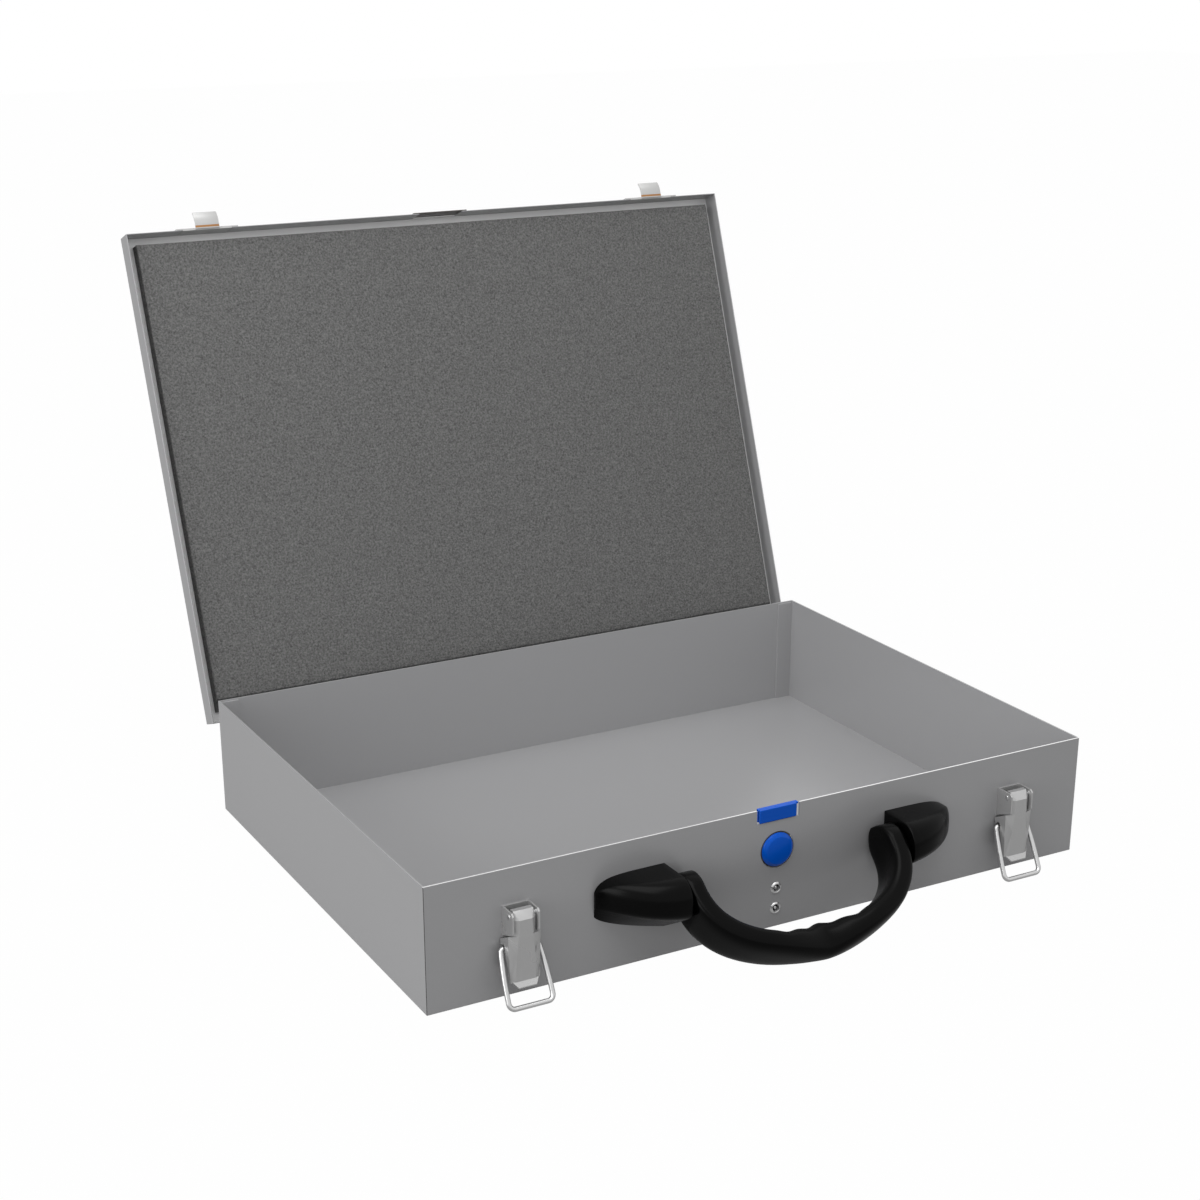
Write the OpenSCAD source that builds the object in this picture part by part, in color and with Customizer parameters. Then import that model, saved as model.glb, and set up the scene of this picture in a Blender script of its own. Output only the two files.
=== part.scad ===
// Steel organizer case: a folded sheet tray with a hinged, foam-lined lid,
// two toggle latches, a swinging carry handle and a centre push-button snap.
// Millimetres. +X right, +Y to the hinges, +Z up. The origin is the centre of
// the tray's footprint, on the surface that it stands on. The lid is drawn open.

/* [Tray] */
// Outer width of the tray
case_w = 440; // [400:1:560]
// Outer depth of the tray, front wall to back wall
case_d = 316; // [240:1:420]
// Outer height of the tray
case_h = 75; // [74:1:100]
// Sheet thickness of the tray
sheet_t = 1; // [0.8:0.1:1.2]
// Width of the welded flanges inside the tray's corners
flange_w = 12; // [8:1:20]

/* [Lid] */
// Sheet thickness of the lid
lid_t = 0.7; // [0.6:0.1:1]
// Running gap between the lid's skirt and the tray's walls
lid_gap = 0.3; // [0.2:0.1:0.6]
// Gap between the closed lid's panel and the tray's rim
seat_gap = 0.2; // [0.1:0.1:0.5]
// Height of the lid's skirt, over the panel's thickness
skirt_h = 13.9; // [12.5:0.1:16]
// How far the lid stands open, in degrees
open_angle = 110; // [90:1:120]
// Thickness of the foam pad
foam_t = 9.2; // [5:0.1:10]
// Border between the foam pad and the lid's skirt
foam_border = 6; // [5.5:0.5:15]

/* [Hinges] */
// Distance of each hinge's middle from the tray's end
hinge_inset = 100; // [70:1:130]
// Length of one hinge
hinge_w = 64; // [40:1:90]
// Thickness of the hinge leaves
leaf_t = 1; // [0.8:0.1:1.2]
// Height of each hinge leaf below or above the hinge line
leaf_h = 26; // [15:1:35]
// Radius of the hinge pin
hinge_pin_r = 1.5; // [1.2:0.1:1.8]
// Outer radius of the knuckles
knuckle_r = 3.2; // [2.8:0.1:3.4]
// Distance of the hinge line behind the tray's back wall
hinge_out = 3.7; // [3.6:0.1:5]
// Distance of the hinge line below the closed lid's rim
hinge_drop = 6.6; // [5:0.1:9]

/* [Latches] */
// Distance of each latch's middle from the tray's end
latch_inset = 53.2; // [40:0.1:60]
// Width across the latch bracket's ears
latch_w = 16.4; // [14:0.1:18]
// Sheet thickness of the latch's parts
latch_t = 1; // [0.8:0.1:1.1]
// Height of the latch bracket
ear_h = 17.5; // [16:0.1:18]
// How far the ears stand out from the wall
ear_out = 13.1; // [12.5:0.1:14]
// Distance of the lever's pin below the closed lid's rim
lever_drop = 11.1; // [10:0.1:14]
// Length of the lever below its pin
lever_len = 40.7; // [39:0.1:42]
// Radius of the lever's pin
lever_pin_r = 1.5; // [1.2:0.1:1.8]
// Radius of the bail's wire
wire_r = 1.4; // [1.1:0.1:1.5]
// Width of the catch's tongue
tongue_w = 16; // [10:0.5:18]

/* [Handle] */
// Distance between the inner faces of the two end caps
cap_span = 148.4; // [120:0.1:180]
// Length of each end cap along the wall
cap_len = 46.4; // [38:0.1:60]
// How far each end cap stands out from the wall
cap_out = 31; // [30:0.5:36]
// Height of the end caps on the wall
cap_h = 39; // [34:0.5:42]
// Height of the handle's swing line above the tray's underside
handle_z = 40.8; // [36:0.1:44]
// Distance of the swing line from the wall
handle_out = 15; // [14.5:0.1:17]
// Radius of the handle's eyes
eye_r = 14; // [12:0.1:14.2]
// Thickness of the handle's eyes
eye_t = 11.6; // [9:0.1:14]
// Radius of the pins that the handle swings on
handle_pin_r = 3; // [2.5:0.1:4]
// Reach of the handle from its swing line to the grip's centre line
grip_reach = 45; // [40:0.5:55]
// How far the handle hangs below level at rest, in degrees
grip_hang = 42; // [0:1:45]

/* [Lock] */
// Width of the snap tab
tab_w = 24.1; // [18:0.1:26]
// Height of the snap tab
tab_h = 8; // [6:0.1:9]
// How far the snap tab stands proud of the wall
tab_out = 0.7; // [0.3:0.1:0.8]
// Width of the notch that the tab looks out of
notch_w = 28.6; // [27:0.1:32]
// Radius of the push button
button_r = 10.9; // [8:0.1:13]
// How far the push button stands proud of the wall
button_out = 2.2; // [1.5:0.1:3]
// Distance of the button's middle below the tray's rim
button_drop = 26.5; // [23:0.1:28]
// Heights of the two hollow rivets, as shares of the tray's height
rivet_height_shares = [0.3253, 0.1547];

/* [Hidden] */
$fn = 48;
// One overrun serves all cuts.
cut = 0.5;
// A hull's own children are coarser.
hull_fn = 32;

// Lid, worked out
lid_over = lid_gap + lid_t;
lid_w = case_w + 2 * lid_over;
lid_d = case_d + 2 * lid_over;
panel_z = case_h + seat_gap;
lid_top = panel_z + lid_t;
rim_z = lid_top - skirt_h;
foam_w = lid_w - 2 * lid_t - 2 * foam_border;
foam_d = lid_d - 2 * lid_t - 2 * foam_border;

// Hinges, worked out
hinge_x = case_w / 2 - hinge_inset;
hinge_y = case_d / 2 + hinge_out;
hinge_z = rim_z - hinge_drop;
pin_play = 0.05;
knuckle_gap = 0.4;
knuckle_mid_share = 0.425;
knuckle_mid = hinge_w * knuckle_mid_share;
pin_head_r = 2.4;
pin_head_t = 1;
leaf_relief = 0.35;

// The foam's hinge-side edge is cut back so that it clears the back wall.
foam_relief_r = norm([case_h - hinge_z, hinge_out + sheet_t]) + leaf_relief;
foam_low = panel_z - foam_t - hinge_z;
foam_high = panel_z - hinge_z;

// Latches, worked out. Places are from the wall's face and the latch's middle.
latch_x = case_w / 2 - latch_inset;
latch_half = latch_w / 2;
lever_pin_y = -8.6;
lever_pin_z = rim_z - lever_drop;
ear_over_pin = 3.3;
ear_top = lever_pin_z + ear_over_pin;
lever_play = 0.4;
lever_half = latch_half - latch_t - lever_play;
lever_end_z = lever_pin_z - lever_len;
pin_head_out = 0.4;
latch_rivet_r = 1.4;
latch_rivet_head_r = 2.4;
latch_rivet_head_t = 1;
latch_rivet_drops = [6.2, 12.8];
bail_y = -4.2;
bail_drop = 20.1;
bail_z = lever_pin_z - bail_drop;
bail_play = 0.08;
bail_splay = 1.8;
bail_lean = 8;
wire_steps = 8;
wire_sides = 20;
wire_end_share = 0.97;
bail_corner = 3.4;
bail_elbow = 1.7;
bail_hole_r = 2.2;
bail_end_gap = 0.6;

// Catch, worked out. The bail's bar lies on the tongue when the lid is locked.
catch_t = 0.8;
catch_w = 42;
catch_step_w = 33.4;
catch_step_gap = 0.3;
catch_slot_w = catch_step_w + 2 * catch_step_gap;
catch_top_gap = 1.2;
tongue_drop = 0.25;
tongue_flat = 3.4;
tongue_r = 9.5;
tongue_turn = 42;
tongue_top = rim_z - tongue_drop;
hook_gap = 0.3;
hook_y = -5.2;
hook_z = tongue_top + wire_r + hook_gap;
bail_len = norm([hook_z - bail_z, hook_y - bail_y]);
// The loose bail leans on the surface that the case stands on.
stand_gap = 0.1;
bail_hang = acos(min((bail_z - wire_r - stand_gap) / bail_len, 1));

// Keeper over the lid's slot for the snap tab
keeper_w = 40;
keeper_slot_w = 32;
keeper_edge = 0.6;

// Handle, worked out
cap_x = cap_span / 2;
cap_slices = 8;
cap_length_power_share = 1.3;
cap_depth_power_share = 0.58;
cap_height_power_shares = [8, 0.4];
cap_tip_share = 0.985;
cap_round_top = 12;
cap_round_low = 7;
cap_top = 16;
cap_nose_drop = 17;
cap_low_rise = 20;
cap_low_power_shares = [1.3, 0.7];
cap_slant = 30;
cap_arc_steps = 6;
handle_play = 0.06;
handle_pin_len = 26;
handle_pin_in = 9.4;
eye_gap = 1;
eye_x = cap_x - eye_gap - eye_t / 2;
screw_r = 2;
screw_head_r = 3.5;
screw_head_t = 2.4;
screw_bite = 7;
screw_places = [9, 29];
plate_t = 1.2;
plate_w = 40;
plate_h = 20;
plate_z = 36;

// Grip's centre line and section: half thickness to the hand, half thickness
// away from it, and half width, each at the eye, half way and at the middle
grip_leg_share = 0.91;
grip_bar_share = 0.19;
grip_inner = [5.8, 7, 11.6];
grip_outer = [5.8, 6.8, 9.3];
grip_wide = [13.9, 14, 8];
grip_steps = 36;
grip_sides = 18;
finger_d = 1.1;
finger_pitch = 17;
finger_count = 2;

// Lock, worked out
button_z = case_h - button_drop;
button_play = 0.4;
button_stem_r = 3;
button_head_r = 4.5;
button_head_t = 1.2;
button_edge = 0.9;
spring_t = 0.8;
spring_w = 18;
spring_foot = 5;
spring_top_gap = 1.8;
tab_back = 3.6;
tab_play = 0.05;
tab_cap_t = 1.2;
tab_cap_front = 0.8;
tab_cap_gap = 0.3;
notch_gap = 0.4;
notch_h = tab_h + notch_gap;
lock_rivet_r = 2;
lock_rivet_head_r = 3.6;
lock_rivet_head_t = 0.8;
lock_rivet_bore_r = 1.1;
rivet_play = 0.05;

// Colours as the photograph shows them
steel_grey = "#8d8d90";
foam_grey = "#5c5c5c";
nickel = "#c4c4c4";
lever_grey = "#909090";
black_plastic = "#161616";
blue_plastic = "#0b3f96";
dark_steel = "#4a4644";

// Places shared by several pieces

module at_front() { translate([0, -case_d / 2, 0]) children(); }

module at_back() { translate([0, case_d / 2, 0]) children(); }

module at_latch(side) { at_front() translate([side * latch_x, 0, 0]) children(); }

module at_hinge(side) { translate([side * hinge_x, hinge_y, hinge_z]) children(); }

// Turns what is drawn with the lid closed into its open place
module lid_open() {
  translate([0, hinge_y, hinge_z]) rotate([-open_angle, 0, 0]) translate([0, -hinge_y, -hinge_z])
    children();
}

// A prism along X, centred, from an outline in Y and Z
module along_x(w) { translate([-w / 2, 0, 0]) rotate([90, 0, 90]) linear_extrude(w) children(); }

// A round bar along X, centred
module bar_x(r, w) { rotate([0, 90, 0]) cylinder(r = r, h = w, center = true); }

// A round bar along Y, from y0 to y1
module bar_y(r, y0, y1) { translate([0, y1, 0]) rotate([90, 0, 0]) cylinder(r = r, h = y1 - y0); }

// A box between two corners
module box(low, high) { translate(low) cube(high - low); }

// A point on a cubic curve with four control points
function bezier(a, b, c, d, k) =
  pow(1 - k, 3) * a + 3 * pow(1 - k, 2) * k * b + 3 * (1 - k) * k * k * c + pow(k, 3) * d;

// A closed solid through a row of rings with n points each
module sweep(rings, n) {
  last = len(rings) - 1;
  walls = [for (i = [0:last - 1], j = [0:n - 1]) let (k = (j + 1) % n)
    each [[i * n + j, i * n + k, (i + 1) * n + k], [i * n + j, (i + 1) * n + k, (i + 1) * n + j]]];
  polyhedron([for (r = rings) each r], concat(walls, [[for (j = [n - 1:-1:0]) j]],
    [[for (j = [0:n - 1]) last * n + j]]));
}

// Tray: one folded sheet, with flanges welded inside its corners

module handle_screw_places() {
  for (side = [-1, 1], p = screw_places)
    translate([side * (cap_x + p), 0, plate_z]) children();
}

module base_shell() {
  color(steel_grey) difference() {
    union() {
      difference() {
        box([-case_w / 2, -case_d / 2, 0], [case_w / 2, case_d / 2, case_h]);
        box([-case_w / 2 + sheet_t, -case_d / 2 + sheet_t, sheet_t],
            [case_w / 2 - sheet_t, case_d / 2 - sheet_t, case_h + cut]);
      }
      for (sx = [0, 1], sy = [0, 1]) mirror([sx, 0, 0]) mirror([0, sy, 0])
        box([case_w / 2 - sheet_t - flange_w, case_d / 2 - 2 * sheet_t, sheet_t],
            [case_w / 2 - sheet_t, case_d / 2 - sheet_t, case_h - sheet_t]);
    }
    at_front() {
      box([-notch_w / 2, -cut, case_h - notch_h], [notch_w / 2, sheet_t + cut, case_h + cut]);
      translate([0, 0, button_z]) bar_y(button_r + button_play, -cut, sheet_t + cut);
      for (share = rivet_height_shares)
        translate([0, 0, case_h * share]) bar_y(lock_rivet_r + rivet_play, -cut, sheet_t + cut);
      handle_screw_places() bar_y(screw_r + rivet_play, -cut, sheet_t + cut);
      for (side = [-1, 1], drop = latch_rivet_drops)
        translate([side * latch_x, 0, ear_top - drop])
          bar_y(latch_rivet_r + rivet_play, -cut, sheet_t + cut);
    }
  }
}

// Lid: a shallow folded tray with three notches in its front skirt

module lid_front_cut(x, w, top) {
  at_front() box([x - w / 2, -lid_over - cut, rim_z - cut], [x + w / 2, -lid_gap + cut, top]);
}

module lid_shell() {
  color(steel_grey) lid_open() difference() {
    box([-lid_w / 2, -lid_d / 2, rim_z], [lid_w / 2, lid_d / 2, lid_top]);
    box([-lid_w / 2 + lid_t, -lid_d / 2 + lid_t, rim_z - cut],
        [lid_w / 2 - lid_t, lid_d / 2 - lid_t, panel_z]);
    for (side = [-1, 1]) lid_front_cut(side * latch_x, catch_slot_w, panel_z - catch_top_gap);
    lid_front_cut(0, keeper_slot_w, panel_z);
  }
}

// The foam's outline from the hinge line: its hinge edge follows the arc that the
// back wall's top edge would draw on the turning lid.
function foam_edge(z) = sqrt(max(foam_relief_r * foam_relief_r - z * z, 0));

module foam_pad() {
  edge_high = hinge_y - foam_d / 2;
  steps = 6;
  arc = [for (i = [0:steps]) let (z = foam_low + (foam_high - foam_low) * i / steps)
    [-max(edge_high, foam_edge(z)), z]];
  front = -hinge_y - foam_d / 2;
  color(foam_grey) lid_open() translate([0, hinge_y, hinge_z]) along_x(foam_w)
    polygon(concat([[front, foam_high], [front, foam_low]], arc));
}

// Hinges: a leaf welded on the back wall, a leaf welded on the lid and a pin

module knuckles(leaf_of_base) {
  outer = (hinge_w - knuckle_mid) / 2 - knuckle_gap;
  if (leaf_of_base)
    for (side = [-1, 1]) translate([side * (hinge_w - outer) / 2, 0, 0]) bar_x(knuckle_r, outer);
  else
    bar_x(knuckle_r, knuckle_mid);
}

module hinge_base_leaf(side) {
  clear = knuckle_r + leaf_relief;
  mid = knuckle_mid + 2 * knuckle_gap;
  color(steel_grey) at_hinge(side) difference() {
    union() {
      knuckles(true);
      box([-hinge_w / 2, -hinge_out, -leaf_h], [hinge_w / 2, leaf_t - hinge_out, 0]);
    }
    box([-mid / 2, -hinge_out - cut, -clear], [mid / 2, knuckle_r + cut, clear]);
    bar_x(hinge_pin_r + pin_play, hinge_w + cut);
  }
}

module hinge_lid_leaf(side) {
  clear = knuckle_r + leaf_relief;
  face = lid_over - hinge_out;
  color(steel_grey) lid_open() at_hinge(side) difference() {
    union() {
      knuckles(false);
      box([-hinge_w / 2, face, clear], [hinge_w / 2, face + leaf_t, lid_top - hinge_z - lid_t]);
      box([-knuckle_mid / 2, face, 0], [knuckle_mid / 2, face + leaf_t, clear]);
    }
    bar_x(hinge_pin_r + pin_play, hinge_w + cut);
  }
}

module hinge_pin(side) {
  color(nickel) at_hinge(side) {
    bar_x(hinge_pin_r, hinge_w);
    for (end = [-1, 1]) translate([end * (hinge_w + pin_head_t) / 2, 0, 0])
      bar_x(pin_head_r, pin_head_t);
  }
}

// Latches: a folded bracket riveted on the wall, its pin, the lever and the bail

ear_low_share = 0.27;
ear_edge = 0.8;

module ear_outline() {
  low = ear_top - ear_h;
  nose = low + ear_h * ear_low_share;
  polygon([[0, low], [-ear_out + ear_edge, nose], [-ear_out, nose + ear_edge],
    [-ear_out, ear_top - 2 * ear_edge], [-ear_out + 2 * ear_edge, ear_top], [0, ear_top]]);
}

module latch_bracket(side) {
  color(nickel) at_latch(side) difference() {
    union() {
      for (ear = [-1, 1]) translate([ear * (latch_half - latch_t / 2), 0, 0])
        along_x(latch_t) ear_outline();
      box([-latch_half, -latch_t, ear_top - ear_h], [latch_half, 0, ear_top]);
    }
    translate([0, lever_pin_y, lever_pin_z]) bar_x(lever_pin_r + pin_play, latch_w + cut);
    for (drop = latch_rivet_drops)
      translate([0, 0, ear_top - drop]) bar_y(latch_rivet_r + rivet_play, -latch_t - cut, cut);
  }
}

module latch_rivets(side) {
  color(nickel) at_latch(side) for (drop = latch_rivet_drops) translate([0, 0, ear_top - drop]) {
    bar_y(latch_rivet_r, -latch_t - latch_rivet_head_t, sheet_t + latch_rivet_head_t);
    bar_y(latch_rivet_head_r, -latch_t - latch_rivet_head_t, -latch_t);
    bar_y(latch_rivet_head_r, sheet_t, sheet_t + latch_rivet_head_t);
  }
}

module lever_pin(side) {
  color(nickel) at_latch(side) translate([0, lever_pin_y, lever_pin_z])
    bar_x(lever_pin_r, latch_w + 2 * pin_head_out);
}

// Lever: a channel with a faceted front, pressed from sheet. Each station is
// [height over its pin, half width, half width of the front facet, front, bevel,
// back], with the depths from the wall. Its body is narrow between the ears, wide
// with deep cheeks at the bail, and shallow at its foot, where a lip flares out.
cheek_gap = 0.5;
cheek_half = latch_half + cheek_gap + latch_t;
lip_rise = 2.6;
lip_half = 7.7;
lip_end_half = 5.4;
lip_front = -11.4;
lip_end_front = -14;
lip_t = 1.1;
lever_skin = 0.01;
roof_taper = 0.6;
foot_taper = 0.8;
facet_wall_share = 0.4;
bevel_wall_share = 0.6;
lever_crown = [3.1, 4, 2.4, -9.2, -9, -6];
lever_roof = [1.7, lever_half - roof_taper, 3.4, -10.2, -9.6, -5];
lever_shoulder = [-1.4, lever_half, 3.8, -12.7, -10.6, -4.2];
lever_neck = [-11.6, lever_half, 4.2, -12.5, -10.3, -3.8];
cheek_top = [-10.6, cheek_half, 4.3, -12.6, -10.5, -10.2];
cheek_deep = [-15.5, cheek_half, 4.8, -12.6, -10, -0.6];
cheek_low = [-22.4, cheek_half, 5.5, -12.5, -9.8, -2.2];
foot_high = [-22.4, cheek_half, 5.5, -12.5, -9.8, -6.2];
foot_low = [lip_rise - lever_len, cheek_half - foot_taper, 6.2, -11.6, -10.6, -9.6];

module lever_slice(s, wall) {
  half = s[1] - wall;
  facet = s[2] - wall * facet_wall_share;
  front = s[3] + wall;
  bevel = s[4] + wall * bevel_wall_share;
  back = s[5] + (wall > 0 ? wall + cut : 0);
  translate([0, 0, lever_pin_z + s[0]]) linear_extrude(lever_skin)
    polygon([[-facet, front], [facet, front], [half, bevel], [half, back], [-half, back],
      [-half, bevel]]);
}

module lever_lip(half, front, z) {
  box([-half, front, z], [half, front + lip_t, z + lip_t / 2]);
}

module lever(side) {
  color(lever_grey) at_latch(side) difference() {
    union() {
      hull() {
        lever_slice(lever_crown, 0);
        lever_slice(lever_roof, 0);
        lever_slice(lever_shoulder, 0);
        lever_slice(lever_neck, 0);
      }
      hull() { lever_slice(cheek_top, 0); lever_slice(cheek_deep, 0); lever_slice(cheek_low, 0); }
      hull() { lever_slice(foot_high, 0); lever_slice(foot_low, 0); }
      hull() {
        lever_lip(lip_half, lip_front, lever_end_z + lip_rise);
        lever_lip(lip_end_half, lip_end_front, lever_end_z);
      }
    }
    hull() { lever_slice(lever_shoulder, latch_t); lever_slice(lever_neck, latch_t); }
    hull() { lever_slice(cheek_deep, latch_t); lever_slice(cheek_low, latch_t); }
    hull() { lever_slice(foot_high, latch_t); lever_slice(foot_low, latch_t); }
    translate([0, lever_pin_y, lever_pin_z]) bar_x(lever_pin_r + pin_play, latch_w + cut);
    translate([0, bail_y, bail_z + bail_hole_r - wire_r - bail_play])
      bar_x(bail_hole_r, 2 * cheek_half + cut);
  }
}

// Bail: one bent wire, drawn flat in X and Y from its pivot. A round stub lies in each
// cheek. From it the wire is swept through an elbow, a leg that bows out, a corner
// and the bar.
bail_stub_from = cheek_half - latch_t - bail_end_gap;
bail_low_x = cheek_half + bail_elbow + bail_splay;
bail_corner_y = bail_len - bail_corner;
function wire_arc(centre, r, from, to) = [for (i = [0:wire_steps])
  let (a = from + (to - from) * i / wire_steps) centre + r * [cos(a), sin(a)]];
bail_top_arc = wire_arc([cheek_half, bail_elbow], bail_elbow, -90, -bail_lean);
bail_leg_from = bail_top_arc[wire_steps];
bail_leg_to = [bail_low_x, bail_corner_y];
bail_leg_pull = (bail_corner_y - bail_elbow) / 3;
bail_leg = [for (i = [1:wire_steps]) bezier(bail_leg_from,
  bail_leg_from + bail_leg_pull * [sin(bail_lean), cos(bail_lean)],
  bail_leg_to - [0, bail_leg_pull], bail_leg_to, i / wire_steps)];
bail_low_arc = wire_arc([bail_low_x - bail_corner, bail_corner_y], bail_corner, 0, 90);
bail_half = concat([[cheek_half - bail_end_gap, 0]], bail_top_arc, bail_leg,
  [for (i = [1:wire_steps]) bail_low_arc[i]]);
bail_path = concat(bail_half, [for (i = [len(bail_half) - 1:-1:0]) [-bail_half[i][0], bail_half[i][1]]]);

// One ring of the wire: its ends are a little slimmer, to sit inside the stubs.
function wire_ring(i) =
  let (last = len(bail_path) - 1, d = bail_path[min(i + 1, last)] - bail_path[max(i - 1, 0)],
       n = [d[1], -d[0]] / norm(d), r = wire_r * (i < 2 || i > last - 2 ? wire_end_share : 1))
  [for (j = [0:wire_sides - 1]) let (a = 360 * j / wire_sides)
    [bail_path[i][0] + n[0] * r * cos(a), bail_path[i][1] + n[1] * r * cos(a), r * sin(a)]];

module bail(side) {
  color(nickel) at_latch(side) translate([0, bail_y, bail_z]) rotate([-90 - bail_hang, 0, 0]) {
    sweep([for (i = [0:len(bail_path) - 1]) wire_ring(i)], wire_sides);
    for (half = [-1, 1]) translate([half * (bail_stub_from + cheek_half) / 2, 0, 0])
      bar_x(wire_r, cheek_half - bail_stub_from);
  }
}

// Catch: a stepped plate welded in the skirt's notch, with an upturned tongue
tongue_steps = 6;
function tongue_at(r, a) = [-lid_over - catch_t - tongue_flat - r * sin(a), -r * cos(a)];

module tongue_outline() {
  centre_z = tongue_top + tongue_r;
  base = -lid_over;
  polygon(concat(
    [[base, tongue_top - catch_t], [base, tongue_top + catch_t], [base - catch_t, tongue_top + catch_t],
     [base - catch_t, tongue_top]],
    [for (i = [0:tongue_steps]) tongue_at(tongue_r, tongue_turn * i / tongue_steps) + [0, centre_z]],
    [for (i = [tongue_steps:-1:0])
      tongue_at(tongue_r + catch_t, tongue_turn * i / tongue_steps) + [0, centre_z]]
  ));
}

module catch_plate(side) {
  top = panel_z - catch_top_gap;
  color(nickel) lid_open() at_latch(side) {
    box([-catch_w / 2, -lid_over - catch_t, rim_z], [catch_w / 2, -lid_over, top + catch_step_gap]);
    box([-catch_step_w / 2, -lid_over, rim_z], [catch_step_w / 2, -lid_gap, top - catch_step_gap]);
    box([-tongue_w / 2, -lid_over - catch_t, tongue_top], [tongue_w / 2, -lid_over, rim_z]);
    along_x(tongue_w) tongue_outline();
  }
}

// Keeper: a dark plate welded over the slot that the snap tab enters

module lock_keeper() {
  color(dark_steel) lid_open() at_front()
    box([-keeper_w / 2, -lid_over - catch_t, rim_z + keeper_edge],
        [keeper_w / 2, -lid_over, lid_top - keeper_edge]);
}

// Handle: two end caps screwed through the wall, a pin in each, and the grip

// The cap's outline in Y and Z at a share of its length: flat top, round brow,
// round nose, and an underside that slants back to the wall
function eased(share, powers) = pow(1 - pow(share, powers[0]), powers[1]);
function cap_outline(share) =
  let (depth = eased(share, [cap_length_power_share, cap_depth_power_share]),
       top = cap_top - cap_h / 2 * (1 - eased(share, cap_height_power_shares)),
       low = cap_top - cap_h + cap_low_rise * (1 - eased(share, cap_low_power_shares)),
       brow = [-cap_out + cap_round_top, cap_h - cap_round_top],
       nose = [-cap_out + cap_round_low, cap_h - cap_nose_drop],
       points = concat([[0, cap_h]],
         [for (i = [0:cap_arc_steps]) let (a = 90 + 90 * i / cap_arc_steps)
           brow + cap_round_top * [cos(a), sin(a)]],
         [for (i = [0:cap_arc_steps]) let (a = 180 + (90 - cap_slant) * i / cap_arc_steps)
           nose + cap_round_low * [cos(a), sin(a)]],
         [[0, 0]]))
  [for (p = points) [p[0] * depth, handle_z + low + p[1] * (top - low) / cap_h]];

cap_skin = 0.05;

module handle_cap_right() {
  color(black_plastic) at_front() difference() {
    hull() for (i = [0:cap_slices]) {
      share = cap_tip_share * (1 - pow(1 - i / cap_slices, 2));
      translate([cap_x + cap_len * share + (i == 0 ? cap_skin / 2 : 0), 0, 0])
        along_x(cap_skin) polygon(cap_outline(share));
    }
    translate([cap_x, -handle_out, handle_z])
      bar_x(handle_pin_r + handle_play, 2 * (handle_pin_len - handle_pin_in + eye_gap));
    for (p = screw_places)
      translate([cap_x + p, 0, plate_z]) bar_y(screw_r + rivet_play, -screw_bite - cut, cut);
  }
}

module handle_pin_right() {
  color(nickel) at_front()
    translate([cap_x - handle_pin_in + handle_pin_len / 2, -handle_out, handle_z])
      bar_x(handle_pin_r, handle_pin_len);
}

module handle_plate_right() {
  middle = cap_x + (screw_places[0] + screw_places[1]) / 2;
  color(nickel) at_front() difference() {
    box([middle - plate_w / 2, sheet_t, plate_z - plate_h / 2],
        [middle + plate_w / 2, sheet_t + plate_t, plate_z + plate_h / 2]);
    for (p = screw_places)
      translate([cap_x + p, 0, plate_z]) bar_y(screw_r + rivet_play, sheet_t - cut, sheet_t + plate_t + cut);
  }
}

module handle_screws_right() {
  seat = sheet_t + plate_t;
  color(nickel) at_front() for (p = screw_places) translate([cap_x + p, 0, plate_z]) {
    bar_y(screw_r, -screw_bite, seat + screw_head_t);
    bar_y(screw_head_r, seat, seat + screw_head_t);
  }
}

// Grip: a centre line in the handle's own plane, across and outwards from the
// swing line, with an oval section swept along it
function smooth(k) = k * k * (3 - 2 * k);
function mix3(v, k) = k < 0.5 ? v[0] + (v[1] - v[0]) * smooth(2 * k)
  : v[1] + (v[2] - v[1]) * smooth(2 * k - 1);
function grip_line(k) = bezier([eye_x, 0], [eye_x, grip_reach * grip_leg_share],
  [eye_x * grip_bar_share, grip_reach], [0, grip_reach], k);
function finger_dip(x) = abs(x) > finger_count * finger_pitch ? 0
  : finger_d * (1 - cos(360 * x / finger_pitch)) / 2;
grip_tick = 0.001;
function grip_way(k) = let (d = grip_line(min(k + grip_tick, 1)) - grip_line(max(k - grip_tick, 0)))
  d / norm(d);
// One ring: u runs from the right eye, 0, past the middle, 1, to the left eye, 2.
function grip_ring(u) =
  let (k = u > 1 ? 2 - u : u, flip = u > 1 ? -1 : 1, p = grip_line(k), way = grip_way(k),
       out = [-way[1], way[0]], inner = mix3(grip_inner, k) - finger_dip(p[0]),
       outer = mix3(grip_outer, k), wide = mix3(grip_wide, k))
  [for (i = [0:grip_sides - 1]) let (a = 360 * i / grip_sides, s = sin(a) * wide,
       c = cos(a) > 0 ? cos(a) * inner : cos(a) * outer)
    [flip * (p[0] + out[0] * c), -(p[1] + out[1] * c), s]];
grip_rings = [for (i = [0:2 * grip_steps]) grip_ring(i / grip_steps)];

module handle_grip() {
  color(black_plastic) at_front() translate([0, -handle_out, handle_z]) difference() {
    rotate([grip_hang, 0, 0]) union() {
      sweep(grip_rings, grip_sides);
      for (side = [-1, 1]) translate([side * eye_x, 0, 0]) bar_x(eye_r, eye_t);
    }
    for (side = [-1, 1]) translate([side * (cap_x + eye_gap), 0, 0])
      bar_x(handle_pin_r + handle_play, 2 * (handle_pin_in + 2 * eye_gap));
  }
}

// Lock: a spring strip riveted inside the wall carries the button and the tab

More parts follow.
